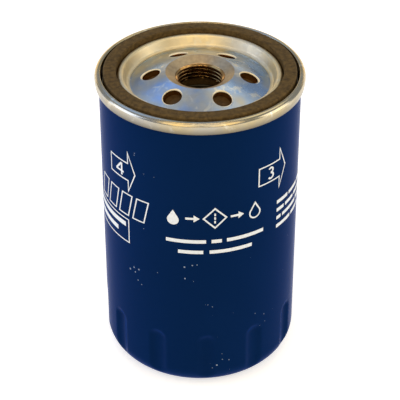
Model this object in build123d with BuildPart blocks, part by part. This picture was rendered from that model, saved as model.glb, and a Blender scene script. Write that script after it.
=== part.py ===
from build123d import *

import os
from math import cos, pi, sin, sqrt

# Spin-on engine oil filter, standing on its closed end with the open, gasketed end up.
# The filter's axis is +Z, and the origin is the centre of the closed end's foot.
# All sizes are millimetres.

# ---------------------------------------------------------------- overall
overall_height = 122.0  # foot to the gasket's sealing face
can_radius = 37.2  # outside of the can's plain wall
can_sheet = 0.4
cover_sheet = 0.5
fit_gap = 0.02  # between layers of sheet that lie on each other

# ---------------------------------------------------------------- can
can_corner = 9.5  # outside radius of the closed end's corner
panel_depth = 2.0  # pressed panel in the closed end
panel_radius = 17.0
panel_slope = 2.0
flute_count = 12
flute_phase = -86.0  # degrees from +X
flute_depth = 1.2
flute_width = 7.0
flute_top = 26.2
flute_edge = 1.0  # rounding along each flute's rim

# ---------------------------------------------------------------- double seam
seam_height = 4.7
gasket_proud = 0.7  # gasket above the seam
seam_crown = 1.45  # rounding of the seam's outer shoulder
seam_taper = 0.25  # how far the seam's wall leans in towards its foot
seam_taper_height = 1.5
hook_room = 0.5  # from the end of the cover hook to the bend it faces
bend_slack = 0.01  # keeps a short straight between the two corners of a U-bend

# ---------------------------------------------------------------- gasket and its groove
gasket_outer_gap = 0.78  # to the groove's outer wall
gasket_width = 4.8
gasket_height = 5.5
gasket_edge = 0.4
gasket_shoulder = 0.8  # rounding of its outer top edge
gasket_inner_gap = 0.5  # to the groove's inner wall
bead_height = 3.75  # groove's inner wall above the groove floor
bead_crown = 1.5
bead_slope = 1.4  # width of the bead's sloping side
mouth_lip = 1.25  # flat lip inside the bead

# ---------------------------------------------------------------- tapping plate
plate_sheet = 2.8
plate_edge_gap = 1.0  # to the cover's outer wall
cone_gap = 0.55  # from the cover's lip to where the plate starts to rise
ring_height = 4.5  # crest above the plate's flange
funnel_width = 3.75
funnel_depth = 1.9
collar_sheet = 2.4
inlet_count = 6
inlet_radius = 3.5
inlet_from_ring = 5.35  # from the crest to the holes' centres
inlet_phase = -3.5
inlet_edge = 0.35

# M18 x 1.5 internal thread
thread_major_radius = 9.0
thread_depth = 0.81  # root to crest
thread_pitch = 1.5
thread_turns = 4
thread_lead = 0.2  # added below the last turn

# ---------------------------------------------------------------- anti-drain valve
valve_sheet = 1.2
valve_gap = 0.05  # to the plate's underside
valve_bore_gap = 0.3  # to the plate's collar
valve_edge_gap = 0.8  # inside the foot of the plate's cone
valve_spring_wire = 0.35  # wire radius
valve_spring_gap = 1.25  # to the element's seal
valve_spring_turns = 2.5

# ---------------------------------------------------------------- element
seal_height = 3.0
seal_bore_gap = 0.5  # outside the thread
seal_overlap = 1.2  # outside the plate's collar
cap_side_gap = 3.0  # to the flutes
cap_sheet = 0.4
cap_skirt = 4.0
cap_bend = 0.8
cap_neck = 3.0
cap_neck_gap = 0.6  # outside the thread
element_foot = 16.0  # underside of the bottom end cap
tube_radius = 17.0
tube_sheet = 0.4
tube_hole_radius = 2.5
tube_hole_rows = 9
tube_holes_in_row = 8
potting_depth = 1.6
potting_gap = 1.1  # to the end cap's skirt
pleat_count = 52
pleat_paper = 0.5
pleat_tube_gap = 0.7  # from the tube to the middle of the paper
clip_sheet = 0.3
clip_gap = 0.06
clip_depth = 5.0

# ---------------------------------------------------------------- support spring
support_wire = 1.0  # wire radius
support_base_gap = 1.0  # to the closed end's pressed panel
support_top_radius = 14.0
support_turns = 3.5
ground_share = 0.6  # share of the wire radius left below an end coil's centre line

# ---------------------------------------------------------------- bypass valve
bypass_hole_radius = 7.4
seat_height = 1.6
face_seal_overlap = 2.6  # outside the hole
face_seal_sheet = 1.2
disc_rim = 0.2  # outside the face seal
disc_sheet = 1.0
stem_radius = 1.75
stem_head_radius = 3.2
stem_head_height = 0.7
stem_length = 15.0
stem_guide_gap = 0.08
cage_side_gap = 1.95  # to the disc
cage_sheet = 0.5
cage_edge_gap = 1.0  # to the centre tube
cage_height = 15.0
cage_windows = 4
window_width = 8.0
window_height = 7.0
bypass_spring_wire = 0.45  # wire radius
bypass_spring_radius = 6.0
bypass_spring_turns = 4.5

# ---------------------------------------------------------------- levels and radii that follow
seam_top = overall_height - gasket_proud
seam_bottom = seam_top - seam_height
can_wall_mid = can_radius - can_sheet / 2
can_bore = can_radius - can_sheet
chuck_wall_mid = can_bore - fit_gap - cover_sheet / 2
cover_hook_mid = can_radius + fit_gap + cover_sheet / 2
body_hook_mid = cover_hook_mid + cover_sheet / 2 + fit_gap + can_sheet / 2
seam_wall_mid = body_hook_mid + can_sheet / 2 + fit_gap + cover_sheet / 2
can_bend = (body_hook_mid - can_wall_mid) / 2
bend_level = seam_top - cover_sheet / 2 - seam_crown  # the can's curl nests in the seam's shoulder
can_top_mid = bend_level + can_bend
cover_top_bend = seam_wall_mid - chuck_wall_mid - seam_crown
seam_foot_mid = seam_wall_mid - seam_taper
cover_bottom_bend = (seam_foot_mid - cover_hook_mid) / 2
cover_hook_end = bend_level - hook_room
body_hook_end = seam_bottom + cover_sheet / 2 + seam_taper_height

gasket_outer_radius = chuck_wall_mid - cover_sheet / 2 - gasket_outer_gap
gasket_inner_radius = gasket_outer_radius - gasket_width
gasket_bottom = overall_height - gasket_height
groove_floor_mid = gasket_bottom - cover_sheet / 2
bead_wall_mid = gasket_inner_radius - gasket_inner_gap - cover_sheet / 2
bead_top_mid = groove_floor_mid + bead_height
bead_foot_radius = bead_wall_mid - bead_crown - bead_slope
cover_mouth_radius = bead_foot_radius - mouth_lip

thread_minor_radius = thread_major_radius - thread_depth
flange_top = gasket_bottom - cover_sheet
flange_bottom = flange_top - plate_sheet
plate_radius = chuck_wall_mid - cover_sheet / 2 - plate_edge_gap
cone_radius = cover_mouth_radius - cone_gap
ring_radius = thread_major_radius + funnel_width
inlet_circle_radius = ring_radius + inlet_from_ring
cone_slope = ring_height / (cone_radius - ring_radius)
cone_drop = plate_sheet * sqrt(1 + cone_slope**2)  # the plate's thickness measured along Z
ring_level = flange_top + ring_height
funnel_level = ring_level - funnel_depth
collar_radius = thread_major_radius + collar_sheet
collar_bottom = funnel_level - thread_pitch * thread_turns - thread_lead

seal_inner_radius = thread_major_radius + seal_bore_gap
seal_outer_radius = collar_radius + seal_overlap
element_top = collar_bottom - seal_height
cap_radius = can_bore - flute_depth - cap_side_gap
cap_neck_radius = thread_major_radius + cap_neck_gap
cap_wall_mid = cap_radius - cap_sheet / 2
upper_inside = element_top - cap_sheet
lower_inside = element_foot + cap_sheet
potting_radius = cap_radius - cap_sheet - potting_gap
media_top = upper_inside - potting_depth
media_bottom = lower_inside + potting_depth
pleat_outer_radius = potting_radius
pleat_inner_radius = tube_radius + pleat_tube_gap

support_base_radius = panel_radius + panel_slope + support_base_gap + support_wire

seat_top = element_foot + seat_height
face_seal_radius = bypass_hole_radius + face_seal_overlap
disc_radius = face_seal_radius + disc_rim
cage_radius = disc_radius + cage_side_gap + cage_sheet / 2
cage_flange_radius = tube_radius - tube_sheet - cage_edge_gap
disc_bottom = seat_top + face_seal_sheet
disc_top = disc_bottom + disc_sheet
cage_top_inside = lower_inside + cage_height - cage_sheet


def plate_top(radius):
    """Height of the tapping plate's conical upper face at a radius."""
    return flange_top + (cone_radius - radius) * cone_slope


def plate_underside(radius):
    """Height of the tapping plate's conical lower face at a radius."""
    return plate_top(radius) - cone_drop


# ---------------------------------------------------------------- can
flute_curve = (flute_width**2 / 4 + flute_depth**2) / (2 * flute_depth)
flute_axis_radius = can_radius - flute_depth + flute_curve
flute_end = flute_top - flute_width / 2


def flute_rims(body):
    """Edges where the flutes meet the wall and the corner, without the flutes' own joins."""
    return body.edges(Select.NEW).filter_by(GeomType.CIRCLE, reverse=True)


with BuildPart() as flute_outer:
    with BuildSketch(Plane.XZ):
        with BuildLine():
            flute_face = Line((flute_curve, -can_corner), (flute_curve, flute_end))
            flute_round = CenterArc((0, flute_end), flute_curve, 0, 90)
            Polyline(flute_round @ 1, (0, -can_corner), flute_face @ 0)
        make_face()
    revolve(axis=Axis.Z)

with BuildPart() as flute_inner:
    add(flute_outer.part)
    offset(amount=can_sheet)

with BuildPart() as can_inside:
    with BuildSketch(Plane.XZ):
        with BuildLine():
            FilletPolyline(
                (0, panel_depth + can_sheet),
                (panel_radius, panel_depth + can_sheet),
                (panel_radius + panel_slope, can_sheet),
                (can_bore, can_sheet),
                (can_bore, can_top_mid - can_bend),
                radius=[1.0, 1.0, can_corner - can_sheet],
            )
            Polyline(
                (can_bore, can_top_mid - can_bend),
                (0, can_top_mid - can_bend),
                (0, panel_depth + can_sheet),
            )
        make_face()
    revolve(axis=Axis.Z)
    with PolarLocations(flute_axis_radius, flute_count, start_angle=flute_phase):
        add(flute_inner.part, mode=Mode.SUBTRACT)
    fillet(flute_rims(can_inside), flute_edge - can_sheet)

with BuildPart() as can:
    with BuildSketch(Plane.XZ):
        with BuildLine():
            FilletPolyline(
                (0, panel_depth),
                (panel_radius, panel_depth),
                (panel_radius + panel_slope, 0),
                (can_radius, 0),
                (can_radius, can_top_mid - can_bend),
                radius=[1.0, 1.0, can_corner],
            )
            Polyline(
                (can_radius, can_top_mid - can_bend),
                (0, can_top_mid - can_bend),
                (0, panel_depth),
            )
        make_face()
    revolve(axis=Axis.Z)
    with PolarLocations(flute_axis_radius, flute_count, start_angle=flute_phase):
        add(flute_outer.part, mode=Mode.SUBTRACT)
    fillet(flute_rims(can), flute_edge)
    add(can_inside.part, mode=Mode.SUBTRACT)
    # body hook, folded outwards and down into the seam
    with BuildSketch(Plane.XZ):
        with BuildLine():
            FilletPolyline(
                (can_wall_mid, bend_level - can_sheet),
                (can_wall_mid, can_top_mid),
                (body_hook_mid, can_top_mid),
                (body_hook_mid, body_hook_end),
                radius=can_bend - bend_slack,
            )
        trace(line_width=can_sheet)
    revolve(axis=Axis.Z)
can.part.label = "can"

# ---------------------------------------------------------------- cover ring
with BuildPart() as cover_ring:
    with BuildSketch(Plane.XZ):
        with BuildLine():
            FilletPolyline(
                (cover_hook_mid, cover_hook_end),
                (cover_hook_mid, seam_bottom + cover_sheet / 2),
                (seam_foot_mid, seam_bottom + cover_sheet / 2),
                (seam_wall_mid, seam_bottom + cover_sheet / 2 + seam_taper_height),
                (seam_wall_mid, seam_top - cover_sheet / 2),
                (chuck_wall_mid, seam_top - cover_sheet / 2),
                (chuck_wall_mid, groove_floor_mid),
                (bead_wall_mid, groove_floor_mid),
                (bead_wall_mid, bead_top_mid),
                (bead_wall_mid - bead_crown, bead_top_mid),
                (bead_foot_radius, groove_floor_mid),
                (cover_mouth_radius, groove_floor_mid),
                radius=[
                    cover_bottom_bend - bend_slack,
                    cover_bottom_bend - bend_slack,
                    1.0,
                    seam_crown - bend_slack,
                    cover_top_bend - bend_slack,
                    0.7,
                    0.7,
                    0.8,
                    0.5,
                    1.5,
                ],
            )
        trace(line_width=cover_sheet)
    revolve(axis=Axis.Z)
cover_ring.part.label = "cover_ring"

# ---------------------------------------------------------------- compound in the seam
with BuildPart() as seam_sealant:
    with BuildSketch(Plane.XZ):
        with Locations((cover_hook_mid, (cover_hook_end + bend_level) / 2)):
            Rectangle(cover_sheet, hook_room - 2 * fit_gap)
    revolve(axis=Axis.Z)
seam_sealant.part.label = "seam_sealant"

# ---------------------------------------------------------------- mounting gasket
with BuildPart() as mounting_gasket:
    with BuildSketch(Plane.XZ):
        with BuildLine():
            FilletPolyline(
                (gasket_inner_radius, gasket_bottom),
                (gasket_outer_radius, gasket_bottom),
                (gasket_outer_radius, overall_height),
                (gasket_inner_radius, overall_height),
                close=True,
                radius=[gasket_edge, gasket_edge, gasket_shoulder, gasket_edge],
            )
        make_face()
    revolve(axis=Axis.Z)
mounting_gasket.part.label = "mounting_gasket"

# ---------------------------------------------------------------- tapping plate
crest_flat = thread_pitch / 4
root_flat = thread_pitch / 8
flank = (thread_pitch - crest_flat - root_flat) / 2
thread_outline = []
for turn in range(thread_turns):
    top = funnel_level - turn * thread_pitch
    thread_outline += [
        (thread_major_radius, top),
        (thread_major_radius, top - root_flat),
        (thread_minor_radius, top - root_flat - flank),
        (thread_minor_radius, top - root_flat - flank - crest_flat),
    ]
underside_corner = cone_radius - (cone_drop - plate_sheet) / cone_slope

# one inlet hole, square to the cone
cone_face = Plane(
    origin=(inlet_circle_radius, 0, plate_top(inlet_circle_radius)), z_dir=(cone_slope, 0, 1)
)
with BuildPart() as inlet_cutter:
    with BuildSketch(cone_face):
        Circle(inlet_radius)
    extrude(amount=plate_sheet * 1.5, both=True)

with BuildPart() as tapping_plate:
    with BuildSketch(Plane.XZ):
        with BuildLine():
            Polyline(
                (plate_radius, flange_bottom),
                (plate_radius, flange_top),
                (cone_radius, flange_top),
                (ring_radius, ring_level),
                *thread_outline,
                (thread_minor_radius, collar_bottom),
                (collar_radius, collar_bottom),
                (collar_radius, plate_underside(collar_radius)),
                (underside_corner, flange_bottom),
                close=True,
            )
        make_face()
    revolve(axis=Axis.Z)
    with PolarLocations(0, inlet_count, start_angle=inlet_phase):
        add(inlet_cutter.part, mode=Mode.SUBTRACT)
    fillet(edges(Select.NEW).group_by(Axis.Z)[-1], inlet_edge)
tapping_plate.part.label = "tapping_plate"

# ---------------------------------------------------------------- anti-drain valve
valve_bore_radius = collar_radius + valve_bore_gap
valve_outer_radius = cone_radius - valve_edge_gap
valve_drop = valve_sheet * sqrt(1 + cone_slope**2)


def valve_top(radius):
    """Height of the rubber ring's upper face at a radius."""
    return plate_underside(radius) - valve_gap


with BuildPart() as anti_drain_valve:
    with BuildSketch(Plane.XZ):
        with BuildLine():
            Polyline(
                (valve_bore_radius, valve_top(valve_bore_radius)),
                (valve_outer_radius, valve_top(valve_outer_radius)),
                (valve_outer_radius, valve_top(valve_outer_radius) - valve_drop),
                (valve_bore_radius, valve_top(valve_bore_radius) - valve_drop),
                close=True,
            )
        make_face()
    revolve(axis=Axis.Z)
anti_drain_valve.part.label = "anti_drain_valve"

valve_spring_radius = seal_outer_radius + valve_spring_gap + valve_spring_wire
valve_spring_outer = valve_spring_radius + valve_spring_wire
valve_spring_top = valve_top(valve_spring_outer) - valve_drop - fit_gap
valve_spring_height = valve_spring_top - element_top

# ---------------------------------------------------------------- coil springs, ends ground flat
with BuildPart() as anti_drain_spring:
    with BuildLine(Plane.XY.offset(element_top + ground_share * valve_spring_wire)):
        valve_coil = Helix(
            (valve_spring_height - 2 * ground_share * valve_spring_wire) / valve_spring_turns,
            valve_spring_height - 2 * ground_share * valve_spring_wire,
            valve_spring_radius,
        )
    with BuildSketch(Plane(origin=valve_coil @ 0, z_dir=valve_coil % 0)):
        Circle(valve_spring_wire)
    sweep(path=valve_coil, is_frenet=True)
    split(bisect_by=Plane.XY.offset(element_top), keep=Keep.TOP)
    split(bisect_by=Plane.XY.offset(valve_spring_top), keep=Keep.BOTTOM)
anti_drain_spring.part.label = "anti_drain_spring"

support_height = element_foot - can_sheet
support_rise = support_height - 2 * ground_share * support_wire
support_cone = -Vector(support_rise, 0).get_angle(
    Vector(support_rise, support_base_radius - support_top_radius)
)
with BuildPart() as support_spring:
    with BuildLine(Plane.XY.offset(can_sheet + ground_share * support_wire)):
        support_coil = Helix(
            support_rise / support_turns,
            support_rise,
            support_base_radius,
            cone_angle=support_cone,
        )
    with BuildSketch(Plane(origin=support_coil @ 0, z_dir=support_coil % 0)):
        Circle(support_wire)
    sweep(path=support_coil, is_frenet=True)
    split(bisect_by=Plane.XY.offset(can_sheet), keep=Keep.TOP)
    split(bisect_by=Plane.XY.offset(element_foot), keep=Keep.BOTTOM)
support_spring.part.label = "support_spring"

bypass_spring_rise = cage_top_inside - disc_top - 2 * ground_share * bypass_spring_wire
with BuildPart() as bypass_spring:
    with BuildLine(Plane.XY.offset(disc_top + ground_share * bypass_spring_wire)):
        bypass_coil = Helix(
            bypass_spring_rise / bypass_spring_turns, bypass_spring_rise, bypass_spring_radius
        )
    with BuildSketch(Plane(origin=bypass_coil @ 0, z_dir=bypass_coil % 0)):
        Circle(bypass_spring_wire)
    sweep(path=bypass_coil, is_frenet=True)
    split(bisect_by=Plane.XY.offset(disc_top), keep=Keep.TOP)
    split(bisect_by=Plane.XY.offset(cage_top_inside), keep=Keep.BOTTOM)
bypass_spring.part.label = "bypass_spring"

# ---------------------------------------------------------------- seal between plate and element
with BuildPart() as element_seal:
    with BuildSketch(Plane.XZ):
        with Locations(
            ((seal_inner_radius + seal_outer_radius) / 2, element_top + seal_height / 2)
        ):
            RectangleRounded(seal_outer_radius - seal_inner_radius, seal_height, 0.3)
    revolve(axis=Axis.Z)
element_seal.part.label = "element_seal"

# ---------------------------------------------------------------- end caps
with BuildPart() as top_end_cap:
    with BuildSketch(Plane.XZ):
        with BuildLine():
            FilletPolyline(
                (cap_neck_radius, element_top - cap_neck),
                (cap_neck_radius, element_top - cap_sheet / 2),
                (cap_wall_mid, element_top - cap_sheet / 2),
                (cap_wall_mid, element_top - cap_skirt),
                radius=cap_bend,
            )
        trace(line_width=cap_sheet)
    revolve(axis=Axis.Z)
top_end_cap.part.label = "top_end_cap"

with BuildPart() as bottom_end_cap:
    with BuildSketch(Plane.XZ):
        with BuildLine():
            FilletPolyline(
                (bypass_hole_radius + cap_sheet / 2, seat_top),
                (bypass_hole_radius + cap_sheet / 2, element_foot + cap_sheet / 2),
                (cap_wall_mid, element_foot + cap_sheet / 2),
                (cap_wall_mid, element_foot + cap_skirt),
                radius=cap_bend,
            )
        trace(line_width=cap_sheet)
    revolve(axis=Axis.Z)
bottom_end_cap.part.label = "bottom_end_cap"

# ---------------------------------------------------------------- cured potting in both end caps
with BuildPart() as upper_potting:
    with BuildSketch(Plane.XY.offset(media_top)):
        Circle(potting_radius)
        Circle(tube_radius, mode=Mode.SUBTRACT)
    extrude(amount=potting_depth)
upper_potting.part.label = "upper_potting"

with BuildPart() as lower_potting:
    with BuildSketch(Plane.XY.offset(lower_inside)):
        Circle(potting_radius)
        Circle(tube_radius, mode=Mode.SUBTRACT)
    extrude(amount=potting_depth)
lower_potting.part.label = "lower_potting"

# ---------------------------------------------------------------- pleated paper
pleat_angle = pi / pleat_count  # from one leaf to the next
fold_points = []
for leaf in range(2 * pleat_count):
    radii = (pleat_inner_radius, pleat_outer_radius)
    if leaf % 2:
        radii = (pleat_outer_radius, pleat_inner_radius)
    fold_points += [(r * cos(leaf * pleat_angle), r * sin(leaf * pleat_angle)) for r in radii]

with BuildPart() as pleated_media:
    with BuildSketch(Plane.XY.offset(media_bottom)):
        with BuildLine() as folds:
            Polyline(*fold_points, close=True)
        make_face()
        offset(amount=pleat_paper / 2)
        add(
            offset(make_face(folds.edges(), mode=Mode.PRIVATE), amount=-pleat_paper / 2, mode=Mode.PRIVATE),
            mode=Mode.SUBTRACT,
        )
    extrude(amount=media_top - media_bottom)
pleated_media.part.label = "pleated_media"

# clip that joins the paper's two ends, over the outer fold beside +X
clip_angle = 90 / pleat_count
fold_half_width = pleat_outer_radius * sin(pleat_angle / 2) + pleat_paper / 2
clip_half_width = fold_half_width + clip_gap + clip_sheet
clip_outside = pleat_outer_radius + pleat_paper / 2 + clip_gap + clip_sheet
with BuildPart() as media_clip:
    with BuildSketch(Plane.XY.offset(media_bottom).rotated((0, 0, clip_angle))):
        with Locations((clip_outside - clip_depth / 2, 0)):
            Rectangle(clip_depth, 2 * clip_half_width)
        with Locations((clip_outside - clip_sheet - clip_depth / 2, 0)):
            Rectangle(clip_depth, 2 * (clip_half_width - clip_sheet), mode=Mode.SUBTRACT)
    extrude(amount=media_top - media_bottom)
media_clip.part.label = "media_clip"

# ---------------------------------------------------------------- perforated centre tube
tube_rows_height = media_top - media_bottom
row_pitch = tube_rows_height / tube_hole_rows
with BuildPart() as centre_tube:
    with BuildSketch(Plane.XY.offset(lower_inside)):
        Circle(tube_radius)
        Circle(tube_radius - tube_sheet, mode=Mode.SUBTRACT)
    extrude(amount=upper_inside - lower_inside)
    for row in range(tube_hole_rows):
        level = media_bottom + (row + 0.5) * row_pitch
        turn = (row % 2) * 180 / tube_holes_in_row
        for hole in range(tube_holes_in_row):
            across = Plane.XZ.rotated((0, 0, turn + hole * 360 / tube_holes_in_row))
            with BuildSketch(across):
                with Locations((0, level)):
                    Circle(tube_hole_radius)
            extrude(amount=tube_radius + 1, mode=Mode.SUBTRACT)
centre_tube.part.label = "centre_tube"

# ---------------------------------------------------------------- bypass valve
with BuildPart() as bypass_cage:
    with BuildSketch(Plane.XZ):
        with BuildLine():
            FilletPolyline(
                (cage_flange_radius, lower_inside + cage_sheet / 2),
                (cage_radius, lower_inside + cage_sheet / 2),
                (cage_radius, cage_top_inside + cage_sheet / 2),
                (stem_radius + stem_guide_gap, cage_top_inside + cage_sheet / 2),
                radius=0.9,
            )
        trace(line_width=cage_sheet)
    revolve(axis=Axis.Z)
    window_level = (lower_inside + cage_top_inside) / 2
    for window in range(cage_windows):
        across = Plane.XZ.rotated((0, 0, window * 360 / cage_windows))
        with BuildSketch(across):
            with Locations((0, window_level)):
                RectangleRounded(window_width, window_height, 1.5)
        extrude(amount=cage_flange_radius, mode=Mode.SUBTRACT)
bypass_cage.part.label = "bypass_cage"

with BuildPart() as bypass_face_seal:
    with BuildSketch(Plane.XY.offset(seat_top)):
        Circle(face_seal_radius)
        Circle(stem_radius, mode=Mode.SUBTRACT)
    extrude(amount=face_seal_sheet)
bypass_face_seal.part.label = "bypass_face_seal"

with BuildPart() as bypass_disc:
    with BuildSketch(Plane.XY.offset(disc_bottom)):
        Circle(disc_radius)
        Circle(stem_radius, mode=Mode.SUBTRACT)
    extrude(amount=disc_sheet)
bypass_disc.part.label = "bypass_disc"

with BuildPart() as bypass_stem:
    with BuildSketch(Plane.XZ):
        with BuildLine():
            Polyline(
                (0, seat_top - stem_head_height),
                (stem_head_radius, seat_top - stem_head_height),
                (stem_head_radius, seat_top),
                (stem_radius, seat_top),
                (stem_radius, disc_top),
                (stem_head_radius, disc_top),
                (stem_head_radius, disc_top + stem_head_height),
                (stem_radius, disc_top + stem_head_height),
                (stem_radius, disc_top + stem_length),
                (0, disc_top + stem_length),
                close=True,
            )
        make_face()
    revolve(axis=Axis.Z)
bypass_stem.part.label = "bypass_stem"

# ---------------------------------------------------------------- write one file for each piece
pieces = [
    can,
    cover_ring,
    seam_sealant,
    mounting_gasket,
    tapping_plate,
    anti_drain_valve,
    anti_drain_spring,
    support_spring,
    element_seal,
    top_end_cap,
    bottom_end_cap,
    upper_potting,
    lower_potting,
    pleated_media,
    media_clip,
    centre_tube,
    bypass_cage,
    bypass_spring,
    bypass_face_seal,
    bypass_disc,
    bypass_stem,
]
os.makedirs("parts", exist_ok=True)
for piece in pieces:
    export_step(piece.part, f"parts/{piece.part.label}.step")
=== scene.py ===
from math import acos, ceil, cos, floor, hypot, pi, radians, sin, sqrt, tan

import bmesh
import bpy
from bpy.props import FloatProperty, FloatVectorProperty, IntProperty, PointerProperty
from bpy.types import Operator, Panel, PropertyGroup
from mathutils import Matrix, Vector


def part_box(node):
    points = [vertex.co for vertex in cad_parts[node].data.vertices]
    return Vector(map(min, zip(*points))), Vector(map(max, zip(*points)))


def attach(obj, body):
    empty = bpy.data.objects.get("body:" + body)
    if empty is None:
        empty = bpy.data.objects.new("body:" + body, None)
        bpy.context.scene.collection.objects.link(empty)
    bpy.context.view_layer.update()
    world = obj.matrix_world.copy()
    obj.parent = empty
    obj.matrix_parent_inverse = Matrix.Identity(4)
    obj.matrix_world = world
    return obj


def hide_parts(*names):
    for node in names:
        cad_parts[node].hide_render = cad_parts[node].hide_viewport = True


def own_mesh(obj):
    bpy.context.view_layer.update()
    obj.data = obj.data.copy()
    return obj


bl_info = {
    "name": "Spin-on Oil Filter",
    "version": (1, 0, 0),
    "blender": (4, 5, 0),
    "location": "3D View > Sidebar > Oil Filter",
    "description": "Builds the visible pieces of a spin-on oil filter round its CAD frame",
    "category": "Object",
}

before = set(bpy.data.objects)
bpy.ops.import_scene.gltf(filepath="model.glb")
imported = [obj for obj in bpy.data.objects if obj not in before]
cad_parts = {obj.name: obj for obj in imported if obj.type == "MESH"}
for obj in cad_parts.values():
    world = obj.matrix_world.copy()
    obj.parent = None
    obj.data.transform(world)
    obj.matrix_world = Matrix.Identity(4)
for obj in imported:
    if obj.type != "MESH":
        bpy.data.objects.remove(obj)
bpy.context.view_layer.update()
mm = 0.001
SEAM_FOOT = 116.6 * mm  # level of the double seam's foot
COLLAR_WALL = 2.4 * mm  # wall of the tapping plate's collar outside the thread
VALVE_SHEET = 1.2 * mm  # thickness of the anti-drain valve
VALVE_BORE_GAP = 0.3 * mm  # from the collar to the valve
INLET_RIM = 0.55 * mm  # rounding of the inlets' rims
INK_FOOT, INK_FACE = 0.008 * mm, 0.035 * mm  # where the coat of ink starts and ends above the wall


def linear(hex_colour):
    """Turns an sRGB hex value into the linear RGBA that shaders use."""
    channels = [int(hex_colour[i : i + 2], 16) / 255 for i in (1, 3, 5)]
    curved = [c / 12.92 if c <= 0.04045 else ((c + 0.055) / 1.055) ** 2.4 for c in channels]
    return (*curved, 1.0)


# ------------------------------------------------------------------ sizes and colours


class FilterSizes(PropertyGroup):
    """Sizes of the filter's shell, in the CAD frame's places."""

    can_radius: FloatProperty(
        name="Can radius", description="Outside of the can's plain wall", default=37.2 * mm, unit="LENGTH"
    )
    can_sheet: FloatProperty(
        name="Can sheet", description="Thickness of the can's steel", default=0.4 * mm, unit="LENGTH"
    )
    can_corner: FloatProperty(
        name="Can corner", description="Outside radius of its corner", default=9.5 * mm, unit="LENGTH"
    )
    panel_radius: FloatProperty(
        name="Panel radius", description="Panel in the closed end", default=17.0 * mm, unit="LENGTH"
    )
    panel_depth: FloatProperty(
        name="Panel depth", description="Rise of the pressed panel", default=2.0 * mm, unit="LENGTH"
    )
    flute_count: IntProperty(name="Flutes", description="Wrench flutes round the can", default=12, min=3)
    flute_phase: FloatProperty(
        name="Flute phase",
        description="One flute's angle from +X",
        default=radians(-86.0),
        subtype="ANGLE",
    )
    flute_depth: FloatProperty(
        name="Flute depth", description="Depth of each flute", default=1.2 * mm, unit="LENGTH"
    )
    flute_width: FloatProperty(
        name="Flute width", description="Width of each flute at the wall", default=7.0 * mm, unit="LENGTH"
    )
    flute_top: FloatProperty(
        name="Flute top", description="Top of the flutes above the foot", default=26.2 * mm, unit="LENGTH"
    )
    cover_sheet: FloatProperty(
        name="Cover sheet", description="Thickness of its steel", default=0.5 * mm, unit="LENGTH"
    )
    seam_height: FloatProperty(
        name="Seam height", description="Height of the double seam", default=4.7 * mm, unit="LENGTH"
    )
    seam_crown: FloatProperty(
        name="Seam shoulder", description="Its outer rounding", default=1.45 * mm, unit="LENGTH"
    )
    seam_taper: FloatProperty(
        name="Seam taper", description="Lean of the seam's foot", default=0.25 * mm, unit="LENGTH"
    )
    taper_height: FloatProperty(
        name="Taper height", description="Height of the leaning part", default=1.5 * mm, unit="LENGTH"
    )
    gasket_width: FloatProperty(
        name="Gasket width", description="Width of the gasket's face", default=4.8 * mm, unit="LENGTH"
    )
    gasket_gap: FloatProperty(
        name="Gasket gap", description="Gap inside the gasket", default=0.5 * mm, unit="LENGTH"
    )
    gasket_edge: FloatProperty(
        name="Gasket edge", description="Rounding of its corners", default=0.4 * mm, unit="LENGTH"
    )
    gasket_shoulder: FloatProperty(
        name="Gasket shoulder", description="Its outer top rounding", default=0.8 * mm, unit="LENGTH"
    )
    bead_height: FloatProperty(
        name="Bead height", description="Bead inside the gasket", default=3.75 * mm, unit="LENGTH"
    )
    bead_crown: FloatProperty(
        name="Bead crown", description="Width of the bead's crown", default=1.5 * mm, unit="LENGTH"
    )
    bead_slope: FloatProperty(
        name="Bead slope", description="Width of the bead's sloping side", default=1.4 * mm, unit="LENGTH"
    )
    mouth_lip: FloatProperty(
        name="Mouth lip", description="Flat lip inside the bead", default=1.25 * mm, unit="LENGTH"
    )
    cone_gap: FloatProperty(
        name="Cone gap",
        description="From the lip to the plate's cone",
        default=0.55 * mm,
        unit="LENGTH",
    )
    ring_radius: FloatProperty(
        name="Crest radius", description="Crest of the tapping plate", default=12.75 * mm, unit="LENGTH"
    )
    ring_height: FloatProperty(
        name="Crest height", description="Crest above the plate's flange", default=4.5 * mm, unit="LENGTH"
    )
    funnel_depth: FloatProperty(
        name="Funnel depth", description="Funnel over the thread", default=1.9 * mm, unit="LENGTH"
    )
    plate_sheet: FloatProperty(
        name="Plate thickness", description="Tapping plate's steel", default=2.8 * mm, unit="LENGTH"
    )
    thread_major: FloatProperty(
        name="Thread root radius", description="Major radius", default=9.0 * mm, unit="LENGTH"
    )
    thread_minor: FloatProperty(
        name="Thread crest radius", description="Minor radius", default=8.19 * mm, unit="LENGTH"
    )
    thread_pitch: FloatProperty(
        name="Thread pitch", description="Pitch of the thread", default=1.5 * mm, unit="LENGTH"
    )
    inlet_count: IntProperty(name="Inlets", description="Oil inlet holes in the plate", default=6, min=3)
    inlet_radius: FloatProperty(
        name="Inlet radius", description="Radius of each inlet hole", default=3.5 * mm, unit="LENGTH"
    )
    inlet_circle: FloatProperty(
        name="Inlet circle",
        description="Radius of the inlets' circle",
        default=18.1 * mm,
        unit="LENGTH",
    )
    inlet_phase: FloatProperty(
        name="Inlet phase",
        description="One inlet's angle from +X",
        default=radians(-3.5),
        subtype="ANGLE",
    )


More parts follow.
